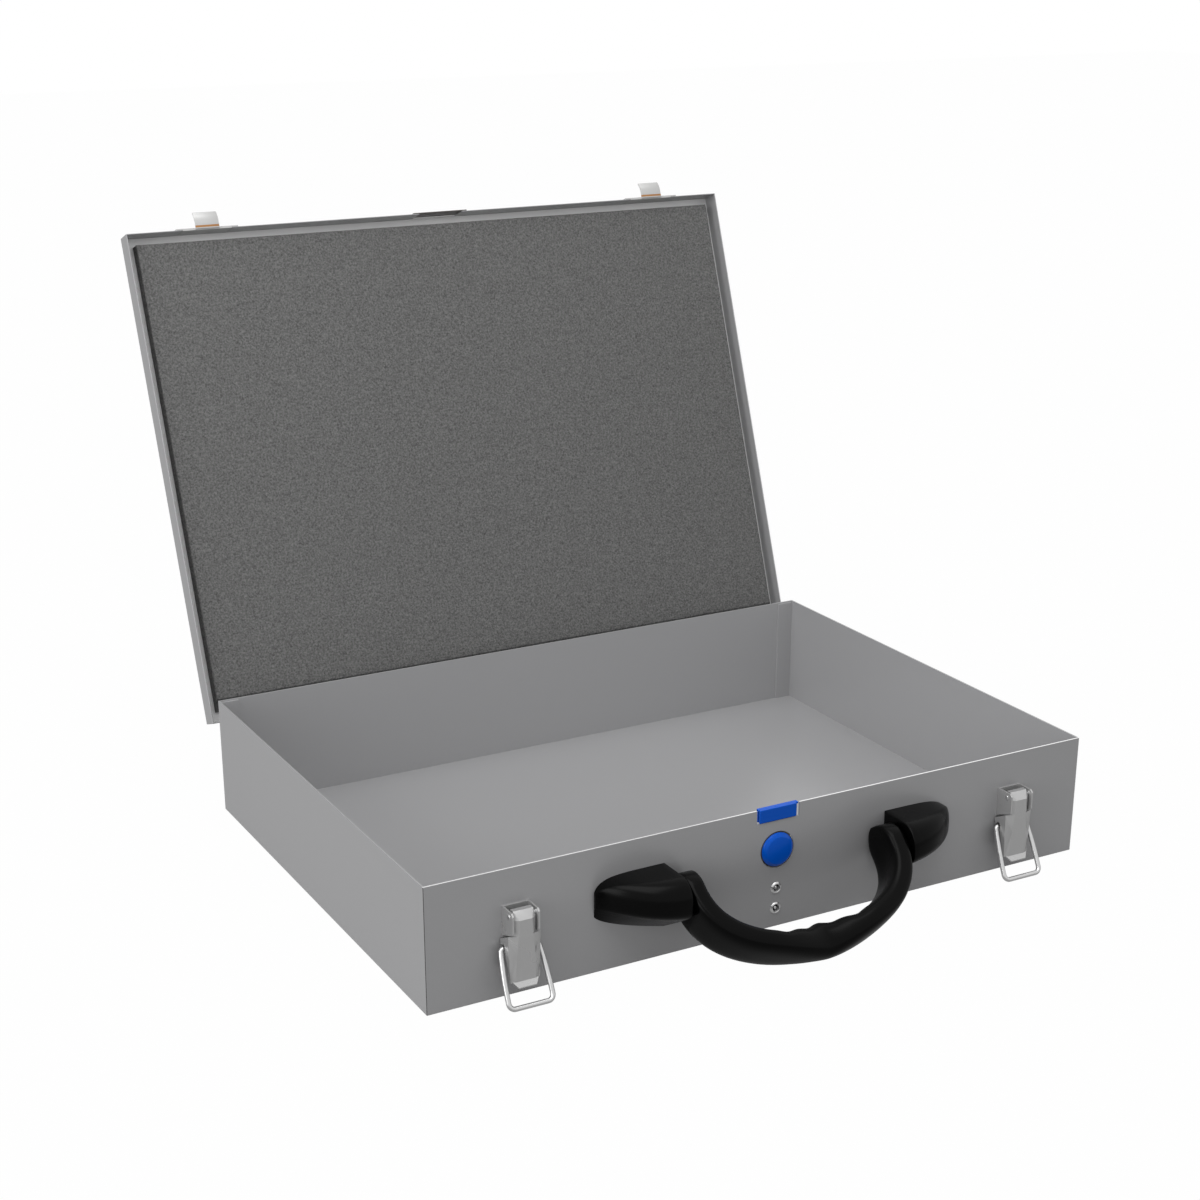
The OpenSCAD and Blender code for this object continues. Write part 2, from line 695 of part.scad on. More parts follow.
module lock_spring() {
  color(nickel) at_front() difference() {
    box([-spring_w / 2, sheet_t, spring_foot], [spring_w / 2, sheet_t + spring_t, case_h - spring_top_gap]);
    translate([0, 0, button_z])
      bar_y(button_stem_r + rivet_play, sheet_t - cut, sheet_t + spring_t + cut);
    for (share = rivet_height_shares) translate([0, 0, case_h * share])
      bar_y(lock_rivet_r + rivet_play, sheet_t - cut, sheet_t + spring_t + cut);
  }
}

module lock_rivets() {
  back = sheet_t + spring_t;
  t = lock_rivet_head_t;
  color(nickel) at_front() for (share = rivet_height_shares) translate([0, 0, case_h * share]) difference() {
    rotate([-90, 0, 0]) rotate_extrude() polygon([
      [0, 0], [lock_rivet_bore_r, 0], [lock_rivet_r + t / 2, -t], [lock_rivet_head_r, -t / 4],
      [lock_rivet_head_r, 0], [lock_rivet_r, 0], [lock_rivet_r, back],
      [lock_rivet_head_r - t, back], [lock_rivet_head_r - t, back + t], [0, back + t]]);
    bar_y(lock_rivet_bore_r / 2, -cut, back + t + cut);
  }
}

module snap_tab() {
  top = case_h;
  low = case_h - tab_h;
  cap_half = notch_w / 2 - tab_cap_gap;
  color(blue_plastic) at_front() difference() {
    union() {
      box([-tab_w / 2, -tab_out, low], [tab_w / 2, tab_back, top]);
      box([-cap_half, tab_cap_front, top - tab_cap_t], [cap_half, tab_back, top]);
    }
    box([-spring_w / 2 - tab_play, sheet_t - tab_play, low - cut],
        [spring_w / 2 + tab_play, sheet_t + spring_t + tab_play, case_h - spring_top_gap + tab_play]);
  }
}

module push_button() {
  back = sheet_t + spring_t + tab_play;
  color(blue_plastic) at_front() translate([0, 0, button_z]) rotate([-90, 0, 0]) rotate_extrude()
    polygon([[0, -button_out], [button_r - 2 * button_edge, -button_out],
      [button_r - button_edge / 2, -button_out + button_edge / 2], [button_r, -button_out + button_edge],
      [button_r, sheet_t - tab_play], [button_stem_r, sheet_t - tab_play], [button_stem_r, back],
      [button_head_r, back], [button_head_r, back + button_head_t], [0, back + button_head_t]]);
}

base_shell();
lid_shell();
foam_pad();
hinge_base_leaf(-1);  // hinge_base_leaf_left
hinge_base_leaf(1);  // hinge_base_leaf_right
hinge_lid_leaf(-1);  // hinge_lid_leaf_left
hinge_lid_leaf(1);  // hinge_lid_leaf_right
hinge_pin(-1);  // hinge_pin_left
hinge_pin(1);  // hinge_pin_right
latch_bracket(-1);  // latch_bracket_left
latch_bracket(1);  // latch_bracket_right
latch_rivets(-1);  // latch_rivets_left
latch_rivets(1);  // latch_rivets_right
lever_pin(-1);  // lever_pin_left
lever_pin(1);  // lever_pin_right
lever(-1);  // lever_left
lever(1);  // lever_right
bail(-1);  // bail_left
bail(1);  // bail_right
catch_plate(-1);  // catch_left
catch_plate(1);  // catch_right
lock_keeper();
mirror([1, 0, 0]) handle_cap_right();  // handle_cap_left
handle_cap_right();
mirror([1, 0, 0]) handle_pin_right();  // handle_pin_left
handle_pin_right();
handle_grip();
mirror([1, 0, 0]) handle_plate_right();  // handle_plate_left
handle_plate_right();
mirror([1, 0, 0]) handle_screws_right();  // handle_screws_left
handle_screws_right();
lock_spring();
lock_rivets();
snap_tab();
push_button();
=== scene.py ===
# Steel organizer case, standing open: a folded grey tray, a foam-lined lid on two
# butt hinges, two toggle latches, a swing handle and a push-button snap.
import math

import bmesh
import bpy
from mathutils import Matrix, Vector


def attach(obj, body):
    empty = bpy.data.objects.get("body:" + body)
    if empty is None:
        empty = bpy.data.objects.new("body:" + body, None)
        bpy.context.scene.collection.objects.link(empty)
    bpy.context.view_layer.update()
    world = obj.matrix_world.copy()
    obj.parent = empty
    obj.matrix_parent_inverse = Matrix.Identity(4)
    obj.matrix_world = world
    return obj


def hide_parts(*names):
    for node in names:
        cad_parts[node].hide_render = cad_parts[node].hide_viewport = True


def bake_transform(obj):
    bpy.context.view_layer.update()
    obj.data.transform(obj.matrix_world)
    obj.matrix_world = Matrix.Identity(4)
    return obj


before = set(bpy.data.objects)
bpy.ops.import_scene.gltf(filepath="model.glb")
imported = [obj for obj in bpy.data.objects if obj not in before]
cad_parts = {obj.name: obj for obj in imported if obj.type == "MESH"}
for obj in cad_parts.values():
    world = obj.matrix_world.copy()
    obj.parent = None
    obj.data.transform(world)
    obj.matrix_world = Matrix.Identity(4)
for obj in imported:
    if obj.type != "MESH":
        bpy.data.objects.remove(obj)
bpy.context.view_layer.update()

# The camera stands to the left of the front, a little above the lid's hinges, and
# is shifted as the photograph was cropped.
camera_data = bpy.data.cameras.new("photo_camera")
camera_data.sensor_width = 36
camera_data.lens = 63.31
camera_data.shift_x = -0.0082
camera_data.shift_y = 0.0932
camera = bpy.data.objects.new("photo_camera", camera_data)
camera.location = (-0.6172, -1.0686, 0.5472)
camera.rotation_euler = (
    Matrix.Rotation(math.radians(-29.15), 4, "Z")
    @ Matrix.Rotation(math.radians(69.25), 4, "X")
    @ Matrix.Rotation(math.radians(0.112), 4, "Z")
).to_euler()
bpy.context.collection.objects.link(camera)
bpy.context.scene.camera = camera
bpy.context.scene.view_settings.view_transform = "Standard"

# The studio: white paper that keeps a faint shadow in a white room, with a wide soft
# box high above and a small one at the left.
room = bpy.data.worlds.new("white_room")
room.use_nodes = True
bpy.context.scene.world = room
room_nodes = room.node_tree.nodes
room_links = room.node_tree.links
room_nodes.clear()
room_out = room_nodes.new("ShaderNodeOutputWorld")
room_light, room_shine, room_seen = [room_nodes.new("ShaderNodeBackground") for part in range(3)]
for part, strength in ((room_light, 0.7), (room_shine, 0.9), (room_seen, 1.0)):
    part.inputs["Color"].default_value = (1, 1, 1, 1)
    part.inputs["Strength"].default_value = strength
room_path = room_nodes.new("ShaderNodeLightPath")
room_either = room_nodes.new("ShaderNodeMath")
room_either.operation = "MAXIMUM"
room_first = room_nodes.new("ShaderNodeMixShader")
room_last = room_nodes.new("ShaderNodeMixShader")
room_links.new(room_path.outputs["Is Glossy Ray"], room_either.inputs[0])
room_links.new(room_path.outputs["Is Transmission Ray"], room_either.inputs[1])
room_links.new(room_either.outputs[0], room_first.inputs[0])
room_links.new(room_light.outputs[0], room_first.inputs[1])
room_links.new(room_shine.outputs[0], room_first.inputs[2])
room_links.new(room_path.outputs["Is Camera Ray"], room_last.inputs[0])
room_links.new(room_first.outputs[0], room_last.inputs[1])
room_links.new(room_seen.outputs[0], room_last.inputs[2])
room_links.new(room_last.outputs[0], room_out.inputs["Surface"])

paper = bpy.data.materials.new("studio_paper")
paper.use_nodes = True
paper_nodes = paper.node_tree.nodes
paper_links = paper.node_tree.links
paper_nodes.clear()
paper_out = paper_nodes.new("ShaderNodeOutputMaterial")
paper_mix = paper_nodes.new("ShaderNodeMixShader")
paper_matt = paper_nodes.new("ShaderNodeBsdfDiffuse")
paper_matt.inputs["Color"].default_value = (0.2, 0.2, 0.2, 1)
paper_glow = paper_nodes.new("ShaderNodeEmission")
paper_glow.inputs["Color"].default_value = (1, 1, 1, 1)
paper_glow.inputs["Strength"].default_value = 1.0
paper_path = paper_nodes.new("ShaderNodeLightPath")
paper_shine, paper_seen = [paper_nodes.new("ShaderNodeMath") for part in range(2)]
for part, share in ((paper_shine, 0.33), (paper_seen, 0.99)):
    part.operation = "MULTIPLY"
    part.inputs[1].default_value = share
paper_share = paper_nodes.new("ShaderNodeMath")
paper_share.operation = "ADD"
paper_links.new(paper_path.outputs["Is Glossy Ray"], paper_shine.inputs[0])
paper_links.new(paper_path.outputs["Is Camera Ray"], paper_seen.inputs[0])
paper_links.new(paper_shine.outputs[0], paper_share.inputs[0])
paper_links.new(paper_seen.outputs[0], paper_share.inputs[1])
paper_links.new(paper_share.outputs[0], paper_mix.inputs[0])
paper_links.new(paper_matt.outputs[0], paper_mix.inputs[1])
paper_links.new(paper_glow.outputs[0], paper_mix.inputs[2])
paper_links.new(paper_mix.outputs[0], paper_out.inputs["Surface"])
floor_shape = bmesh.new()
bmesh.ops.create_grid(floor_shape, x_segments=1, y_segments=1, size=6)
floor_mesh = bpy.data.meshes.new("studio_floor")
floor_shape.to_mesh(floor_mesh)
floor_shape.free()
floor_mesh.materials.append(paper)
floor = bpy.data.objects.new("studio_floor", floor_mesh)
bpy.context.collection.objects.link(floor)

lamp_aim = Vector((0, 0, 0.1))
for lamp_name, lamp_place, lamp_size, lamp_power in (
    ("high_soft_box", (-0.6, -0.6, 2.8), 2.4, 42),
    ("left_soft_box", (-2.2, -0.4, 0.85), 1.5, 20),
):
    lamp_data = bpy.data.lights.new(lamp_name, "AREA")
    lamp_data.shape = "SQUARE"
    lamp_data.size = lamp_size
    lamp_data.energy = lamp_power
    lamp = bpy.data.objects.new(lamp_name, lamp_data)
    lamp.location = lamp_place
    lamp.rotation_euler = (lamp_aim - Vector(lamp_place)).to_track_quat("-Z", "Y").to_euler()
    bpy.context.collection.objects.link(lamp)

# Tray: one sheet of 1 mm steel, cut, folded up on four sides and welded to flanges
# inside its corners. Its edges are rounded in the press. The front corners' rounds are
# painted near black as shade in their seams, and the front rim's top is painted bright as a
# highlight.


def surface(name, colour, metal, rough, spread, grain, bump, tint=0.04, specular=0.5):
    """A finish with fine noise in its colour and relief, and broad noise in its roughness."""
    finish = bpy.data.materials.new(name)
    finish.use_nodes = True
    nodes = finish.node_tree.nodes
    links = finish.node_tree.links
    shader = nodes["Principled BSDF"]
    shader.inputs["Metallic"].default_value = metal
    shader.inputs["Specular IOR Level"].default_value = specular
    place = nodes.new("ShaderNodeTexCoord")
    fine = nodes.new("ShaderNodeTexNoise")
    fine.inputs["Scale"].default_value = grain
    fine.inputs["Detail"].default_value = 4
    broad = nodes.new("ShaderNodeTexNoise")
    broad.inputs["Scale"].default_value = 9
    broad.inputs["Detail"].default_value = 3
    links.new(place.outputs["Object"], fine.inputs["Vector"])
    links.new(place.outputs["Object"], broad.inputs["Vector"])
    sheen = nodes.new("ShaderNodeMapRange")
    sheen.inputs["From Min"].default_value = 0.3
    sheen.inputs["From Max"].default_value = 0.7
    sheen.inputs["To Min"].default_value = rough - spread
    sheen.inputs["To Max"].default_value = rough + spread
    links.new(broad.outputs["Fac"], sheen.inputs["Value"])
    links.new(sheen.outputs["Result"], shader.inputs["Roughness"])
    shade = nodes.new("ShaderNodeMix")
    shade.data_type = "RGBA"
    shade.inputs["A"].default_value = [c * (1 - tint) for c in colour] + [1]
    shade.inputs["B"].default_value = [c * (1 + tint) for c in colour] + [1]
    links.new(fine.outputs["Fac"], shade.inputs["Factor"])
    links.new(shade.outputs["Result"], shader.inputs["Base Color"])
    relief = nodes.new("ShaderNodeBump")
    relief.inputs["Strength"].default_value = bump
    relief.inputs["Distance"].default_value = 0.0002
    links.new(fine.outputs["Fac"], relief.inputs["Height"])
    links.new(relief.outputs["Normal"], shader.inputs["Normal"])
    return finish


def pressed(node, name, finish, edge, segments=2, keen=32, merged=1):
    """The CAD solid's own shape, smooth where it turns by merged to keen degrees and
    with a small round on the edges that turn by more."""
    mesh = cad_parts[node].data.copy()
    mesh.name = name
    shape = bmesh.new()
    shape.from_mesh(mesh)
    bmesh.ops.remove_doubles(shape, verts=shape.verts, dist=0.00001)
    bmesh.ops.dissolve_limit(
        shape, angle_limit=math.radians(merged), verts=shape.verts, edges=shape.edges
    )
    for face in shape.faces:
        turns = [math.degrees(e.calc_face_angle(0)) for e in face.edges]
        face.smooth = any(merged < turn < keen for turn in turns)
    shape.to_mesh(mesh)
    shape.free()
    mesh.materials.clear()
    mesh.materials.append(finish)
    piece = bpy.data.objects.new(name, mesh)
    bpy.context.collection.objects.link(piece)
    rounding = piece.modifiers.new("edges", "BEVEL")
    rounding.width = edge
    rounding.segments = segments
    rounding.limit_method = "ANGLE"
    rounding.angle_limit = math.radians(keen)
    rounding.harden_normals = True
    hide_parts(node)
    return piece


def rounded(shape, edges, offset, segments, material=-1):
    """Bevels edges of a shape in that many steps; the new faces take the material's slot."""
    bmesh.ops.bevel(
        shape,
        geom=edges,
        offset=offset,
        segments=segments,
        profile=0.5,
        affect="EDGES",
        material=material,
    )


grey_steel = surface("grey_steel", (0.38, 0.38, 0.387), 0.22, 0.32, 0.02, 900, 0.02, 0.02)
painted_rim_highlight = surface("painted_rim_highlight", (0.92, 0.92, 0.92), 0.3, 0.25, 0.02, 1500, 0.01, 0.02)
painted_shade = surface("painted_shade", (0.05, 0.05, 0.05), 0.2, 0.5, 0.03, 1500, 0.01, 0.05)
tray = pressed("base_shell", "tray", grey_steel, 0.00025)
tray.data.materials.append(painted_shade)
tray.data.materials.append(painted_rim_highlight)
rim_level, rim_front, fold_x, fold_y = 0.0745, -0.1565, 0.2199, -0.1579
tray_shape = bmesh.new()
tray_shape.from_mesh(tray.data)


def rim_faces():
    """The faces on top of the tray's rim."""
    upward = [f for f in tray_shape.faces if f.normal.z > 0.9]
    return [f for f in upward if f.calc_center_bounds().z > rim_level]


for plane, facing in (
    ((0, -0.157, 0), (0, 1, 0)),
    ((0.219, 0, 0), (1, 0, 0)),
    ((0, 0.157, 0), (0, 1, 0)),
):
    rim_parts = rim_faces()
    for face in rim_faces():
        rim_parts += [part for part in (*face.edges, *face.verts) if part not in rim_parts]
    bmesh.ops.bisect_plane(
        tray_shape, geom=rim_parts, plane_co=plane, plane_no=facing, dist=0.000001
    )
# The front rim's top faces take the near-white finish: a painted highlight along the rim.
for face in rim_faces():
    if face.calc_center_median().y < rim_front:
        face.material_index = 2
# The front corners' folds get a near-black round: painted shade of their seams.
folds = []
for edge in tray_shape.edges:
    upright = abs(edge.verts[0].co.z - edge.verts[1].co.z) > 0.05
    if upright and all(abs(v.co.x) > fold_x and v.co.y < fold_y for v in edge.verts):
        folds.append(edge)
rounded(tray_shape, folds, 0.0003, 1, material=1)
tray_shape.to_mesh(tray.data)
tray_shape.free()
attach(tray, "base")

# Lid: a shallow tray of 0.7 mm steel with its skirt folded down all round, notched
# in front for the two catches and for the snap tab's slot.
hinge_line = Vector((0, 0.1617, 0.0554))
open_angle, panel_inside = -110, 0.074
opened = (
    Matrix.Translation(hinge_line)
    @ Matrix.Rotation(math.radians(open_angle), 4, "X")
    @ Matrix.Translation(-hinge_line)
)
lid_inside_painted_light = surface("lid_inside_painted_light", (0.85, 0.85, 0.85), 0.2, 0.3, 0.02, 900, 0.02, 0.02)
lid = pressed("lid_shell", "lid", grey_steel, 0.0003)
lid.data.materials.append(lid_inside_painted_light)
# The lid panel's inner face, the border round the foam, takes a pale grey finish: painted light on
# a face that the foam and skirt shade.
for face in lid.data.polygons:
    place = opened.inverted() @ face.center
    facing = opened.to_3x3().inverted() @ face.normal
    if facing.z < -0.9 and place.z > panel_inside:
        face.material_index = 1
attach(lid, "lid")

# Foam pad: a sheet of grey open-cell foam, knife cut and glued inside the lid. It is
# flat, with soft edges and a grainy skin of small cells.
foam_half, foam_front, foam_back = 0.2143, -0.1523, 0.1523
foam_low, foam_high, foam_clear = 0.0660, 0.0752, 0.0205


def lofted(shape, rings):
    """Extrudes a closed ring of points through the places of the next rings."""
    loop = [shape.verts.new(p) for p in rings[0]]
    edges = [shape.edges.new((loop[i - 1], loop[i])) for i in range(len(loop))]
    ends = [bmesh.ops.contextual_create(shape, geom=edges)["faces"][0]]
    for ring in rings[1:]:
        grown = bmesh.ops.extrude_edge_only(shape, edges=edges)["geom"]
        fresh = [e for e in grown if isinstance(e, bmesh.types.BMEdge) and e.is_boundary]
        newer = {}
        for edge in fresh:
            for vert in edge.verts:
                newer[vert] = None
        older = {}
        for vert in newer:
            for edge in vert.link_edges:
                other = edge.other_vert(vert)
                if other in loop:
                    older[loop.index(other)] = vert
        loop = [older[i] for i in range(len(ring))]
        for vert, place in zip(loop, ring):
            vert.co = place
        edges = fresh
    ends.append(bmesh.ops.contextual_create(shape, geom=edges)["faces"][0])
    return ends


def smoothed(shape, name, keen, finish):
    """An object from a finished shape, smooth but for edges that turn by more than keen."""
    mesh = bpy.data.meshes.new(name)
    shape.to_mesh(mesh)
    shape.free()
    mesh.shade_smooth()
    mesh.set_sharp_from_angle(angle=math.radians(keen))
    mesh.materials.append(finish)
    piece = bpy.data.objects.new(name, mesh)
    bpy.context.collection.objects.link(piece)
    return piece


foam_grey = bpy.data.materials.new("grey_foam")
foam_grey.use_nodes = True
foam_nodes = foam_grey.node_tree.nodes
foam_links = foam_grey.node_tree.links
foam_shader = foam_nodes["Principled BSDF"]
foam_shader.inputs["Roughness"].default_value = 0.95
foam_shader.inputs["Specular IOR Level"].default_value = 0.1
foam_place = foam_nodes.new("ShaderNodeTexCoord")
foam_cells = foam_nodes.new("ShaderNodeTexVoronoi")
foam_cells.inputs["Scale"].default_value = 1100
foam_speck = foam_nodes.new("ShaderNodeTexNoise")
foam_speck.inputs["Scale"].default_value = 800
foam_speck.inputs["Detail"].default_value = 5
foam_speck.inputs["Roughness"].default_value = 0.7
foam_ramp = foam_nodes.new("ShaderNodeValToRGB")
foam_ramp.color_ramp.elements[0].position = 0.30
foam_ramp.color_ramp.elements[0].color = (0.058, 0.058, 0.057, 1)
foam_ramp.color_ramp.elements[1].position = 0.72
foam_ramp.color_ramp.elements[1].color = (0.230, 0.230, 0.228, 1)
foam_relief = foam_nodes.new("ShaderNodeBump")
foam_relief.inputs["Strength"].default_value = 0.5
foam_relief.inputs["Distance"].default_value = 0.0006
foam_links.new(foam_place.outputs["Object"], foam_cells.inputs["Vector"])
foam_links.new(foam_place.outputs["Object"], foam_speck.inputs["Vector"])
foam_links.new(foam_speck.outputs["Fac"], foam_ramp.inputs["Fac"])
foam_links.new(foam_ramp.outputs["Color"], foam_shader.inputs["Base Color"])
foam_links.new(foam_cells.outputs["Distance"], foam_relief.inputs["Height"])
foam_links.new(foam_relief.outputs["Normal"], foam_shader.inputs["Normal"])

foam_outline = [(foam_front, foam_high), (foam_front, foam_low)]
for step in range(9):
    z = foam_low + (foam_high - foam_low) * step / 8
    reach = math.sqrt(max(foam_clear**2 - (z - hinge_line.z) ** 2, 0))
    foam_outline.append((min(hinge_line.y - reach, foam_back), z))
foam_shape = bmesh.new()
lofted(foam_shape, [[(x, y, z) for y, z in foam_outline] for x in (-foam_half, foam_half)])
bmesh.ops.recalc_face_normals(foam_shape, faces=foam_shape.faces)
foam_soft = [e for e in foam_shape.edges if max(v.co.z for v in e.verts) < foam_low + 0.0001]
rounded(foam_shape, foam_soft, 0.0011, 3)
bmesh.ops.transform(foam_shape, matrix=opened, verts=foam_shape.verts)
foam = smoothed(foam_shape, "foam_lining", 40, foam_grey)
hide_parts("foam_pad")
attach(foam, "lid")

# Hinges: stamped leaves with rolled knuckles, welded on the tray's back wall and on
# the lid's skirt, and painted with them. A bright pin runs through each.
bright_plate = surface("bright_plate", (0.66, 0.66, 0.66), 1.0, 0.3, 0.03, 1500, 0.02, 0.03)
for side in ("left", "right"):
    leaf = pressed("hinge_base_leaf_" + side, "tray_leaf_" + side, grey_steel, 0.00015)
    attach(leaf, "base")
    leaf = pressed("hinge_lid_leaf_" + side, "lid_leaf_" + side, grey_steel, 0.00015)
    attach(leaf, "lid")
    pin = pressed("hinge_pin_" + side, "leaf_pin_" + side, bright_plate, 0.0003)
    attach(pin, "base")

# Latches: a folded bracket with two ears, riveted on the front wall, a lever with a
# wide roof on a pin between the ears, and a bent wire bail that hangs in its cheeks.
satin_plate = surface("satin_plate", (0.53, 0.53, 0.53), 0.68, 0.28, 0.03, 1200, 0.03, 0.03)
wire_radius, wire_pivot = 0.00145, (-0.1622, 0.0308)
wire_length, wire_hang, latch_middle = 0.032665, 26.24, 0.1668
cheek_half, wire_elbow, wire_corner, wire_splay, wire_lean = 0.0097, 0.0017, 0.0034, 0.0132, 8
roof_level, roof_spread = 0.0529, 1.5
wire_half = [Vector((0.0081, 0)), Vector((0.0083, 0)), Vector((0.0096, 0))]
for step in range(11):
    turn = math.radians(-90 + 82 * step / 10)
    bend = wire_elbow * Vector((math.cos(turn), math.sin(turn)))
    wire_half.append(Vector((cheek_half, wire_elbow)) + bend)
leg_from, leg_to = wire_half[-1], Vector((wire_splay, wire_length - wire_corner))
leg_pull, leg_lean = (leg_to.y - wire_elbow) / 3, math.radians(wire_lean)
leg_bow = leg_from + leg_pull * Vector((math.sin(leg_lean), math.cos(leg_lean)))
leg_end = leg_to - Vector((0, leg_pull))
for step in range(1, 15):
    k = step / 14
    bowed = (1 - k) ** 3 * leg_from + 3 * (1 - k) ** 2 * k * leg_bow
    wire_half.append(bowed + 3 * (1 - k) * k * k * leg_end + k**3 * leg_to)
for step in range(1, 13):
    turn = math.radians(90 * step / 12)
    wire_half.append(leg_to + wire_corner * Vector((math.cos(turn) - 1, math.sin(turn))))
wire_path = wire_half + [Vector((-p.x, p.y)) for p in reversed(wire_half)]

for side, sign in (("left", -1), ("right", 1)):
    bracket = pressed("latch_bracket_" + side, "latch_ears_" + side, satin_plate, 0.0002)
    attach(bracket, "base")
    rivets = pressed("latch_rivets_" + side, "latch_rivet_pair_" + side, bright_plate, 0.0003)
    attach(rivets, "base")
    axle = pressed("lever_pin_" + side, "latch_axle_" + side, bright_plate, 0.0002)
    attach(axle, "base")
    lever = pressed("lever_" + side, "latch_lever_" + side, satin_plate, 0.0003, 3, 14, 5)
    for vert in lever.data.vertices:
        if vert.co.z > roof_level:
            vert.co.x = sign * latch_middle + roof_spread * (vert.co.x - sign * latch_middle)
    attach(lever, "lever_" + side)
    wire_turn = Matrix.Rotation(math.radians(-90 - wire_hang), 4, "X")
    hung = Matrix.Translation((sign * latch_middle, *wire_pivot)) @ wire_turn
    wire_rings = []
    for index, point in enumerate(wire_path):
        way = wire_path[min(index + 1, len(wire_path) - 1)] - wire_path[max(index - 1, 0)]
        out = Vector((way.y, -way.x)).normalized()
        radius = wire_radius - 0.0002 if index in (0, len(wire_path) - 1) else wire_radius
        ring = []
        for step in range(24):
            turn = 2 * math.pi * step / 24
            across = point + out * radius * math.cos(turn)
            ring.append(hung @ Vector((across.x, across.y, radius * math.sin(turn))))
        wire_rings.append(ring)
    wire_shape = bmesh.new()
    lofted(wire_shape, wire_rings)
    bmesh.ops.recalc_face_normals(wire_shape, faces=wire_shape.faces)
    wire = smoothed(wire_shape, "latch_bail_" + side, 40, bright_plate)
    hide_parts("bail_" + side)
    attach(wire, "bail_" + side)

# Catches: stepped plates welded in the lid's front skirt, each with a tongue that
# curls up for the bail, bronzed at its root. The keeper is a dark plate over the slot.
catch_plate = surface("catch_plate", (0.55, 0.55, 0.545), 0.35, 0.5, 0.03, 1500, 0.02, 0.02)
bronze_plate = surface("bronze_plate", (0.42, 0.20, 0.07), 0.35, 0.5, 0.03, 1500, 0.02, 0.02)
tongue_root, bronze_end = -0.1598, -0.1611
for side in ("left", "right"):
    catch = pressed("catch_" + side, "lid_catch_" + side, catch_plate, 0.0001)
    catch.data.materials.append(bronze_plate)
    catch_shape = bmesh.new()
    catch_shape.from_mesh(catch.data)
    for reach in (tongue_root, bronze_end):
        bmesh.ops.bisect_plane(
            catch_shape,
            geom=list(catch_shape.faces) + list(catch_shape.edges) + list(catch_shape.verts),
            plane_co=opened @ Vector((0, reach, 0)),
            plane_no=opened.to_3x3() @ Vector((0, 1, 0)),
            dist=0.000001,
        )
    for face in catch_shape.faces:
        place = opened.inverted() @ face.calc_center_median()
        if bronze_end < place.y < tongue_root - 0.0001:
            face.material_index = 1
    catch_shape.to_mesh(catch.data)
    catch_shape.free()
    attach(catch, "lid")
dark_plate = surface("dark_plate", (0.10, 0.09, 0.085), 0.7, 0.4, 0.04, 1200, 0.03, 0.05)
keeper = pressed("lock_keeper", "snap_keeper", dark_plate, 0.0002)
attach(keeper, "lid")

# Handle caps: moulded in black plastic, each a half shell that swells from its round
# outer end to a flat inner face, where the grip's pin goes in.
black_moulding = surface("black_moulding", (0.0008,) * 3, 0.0, 0.27, 0.03, 1400, 0.012, 0.06, 0.09)
front_wall = -0.158
cap_inner, cap_length = 0.0742, 0.0456
cap_reach, cap_height, cap_crown = 0.031, 0.039, 0.0568
cap_shoulder, cap_jaw, cap_jaw_top, cap_rise, cap_nose = 0.012, 0.007, 0.017, 0.0176, 0.985


def cap_ring(share):
    """The cap's outline at a share of its length, as points in Y and Z."""
    depth = (1 - share**2.3) ** 0.8
    top = cap_crown - cap_height / 2 * (1 - (1 - share**5.5) ** 0.233)
    low = cap_crown - cap_height + cap_rise * (1 - (1 - share) ** 0.6)
    outline = [(0.0, cap_height)]
    for step in range(13):
        turn = math.radians(90 + 90 * step / 12)
        across, along = cap_shoulder * math.cos(turn), cap_shoulder * math.sin(turn)
        outline.append((-cap_reach + cap_shoulder + across, cap_height - cap_shoulder + along))
    for step in range(10):
        turn = math.radians(180 + 60 * step / 9)
        across, along = cap_jaw * math.cos(turn), cap_jaw * math.sin(turn)
        outline.append((-cap_reach + cap_jaw + across, cap_height - cap_jaw_top + along))
    outline.append((0.0, 0.0))
    return [(y * depth + front_wall, low + z * (top - low) / cap_height) for y, z in outline]


for side, sign in (("left", -1), ("right", 1)):
    cap_shape = bmesh.new()
    cap_rings = []
    for step in range(23):
        share = cap_nose * (1 - (1 - step / 22) ** 2)
        x = sign * (cap_inner + cap_length * share)
        cap_rings.append([(x, y, z) for y, z in cap_ring(share)])
    cap_ends = lofted(cap_shape, cap_rings)
    for end, offset, segments in ((cap_ends[0], 0.0007, 3), (cap_ends[1], 0.0003, 2)):
        rounded(cap_shape, list(end.edges) if end.is_valid else [], offset, segments)
    bmesh.ops.recalc_face_normals(cap_shape, faces=cap_shape.faces)
    cap = smoothed(cap_shape, "handle_end_" + side, 48, black_moulding)
    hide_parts("handle_cap_" + side)
    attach(cap, "base")
    for node, name in (
        ("handle_pin_", "handle_axle_"),
        ("handle_plate_", "backing_plate_"),
        ("handle_screws_", "handle_screw_pair_"),
    ):
        piece = pressed(node + side, name + side, bright_plate, 0.0002)
        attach(piece, "base")

# Grip: one black moulding. Flat round eyes run out into flat-sided legs, which turn
# in to a round bar with shallow finger hollows on the hand's side.
swing_line = Vector((0, front_wall - 0.015, 0.0408))
grip_hang, eye_middle, eye_radius, grip_reach = 42, 0.0674, 0.014, 0.045
hang = Matrix.Translation(swing_line) @ Matrix.Rotation(math.radians(grip_hang), 4, "X")
hollow_depth, hollow_pitch, hollow_span = 0.0011, 0.017, 0.034


def eased(values, k):
    """A smooth step through three values: at the eye, half way and at the middle."""
    k, low, high = (2 * k, values[0], values[1]) if k < 0.5 else (2 * k - 1, values[1], values[2])
    return low + (high - low) * k * k * (3 - 2 * k)


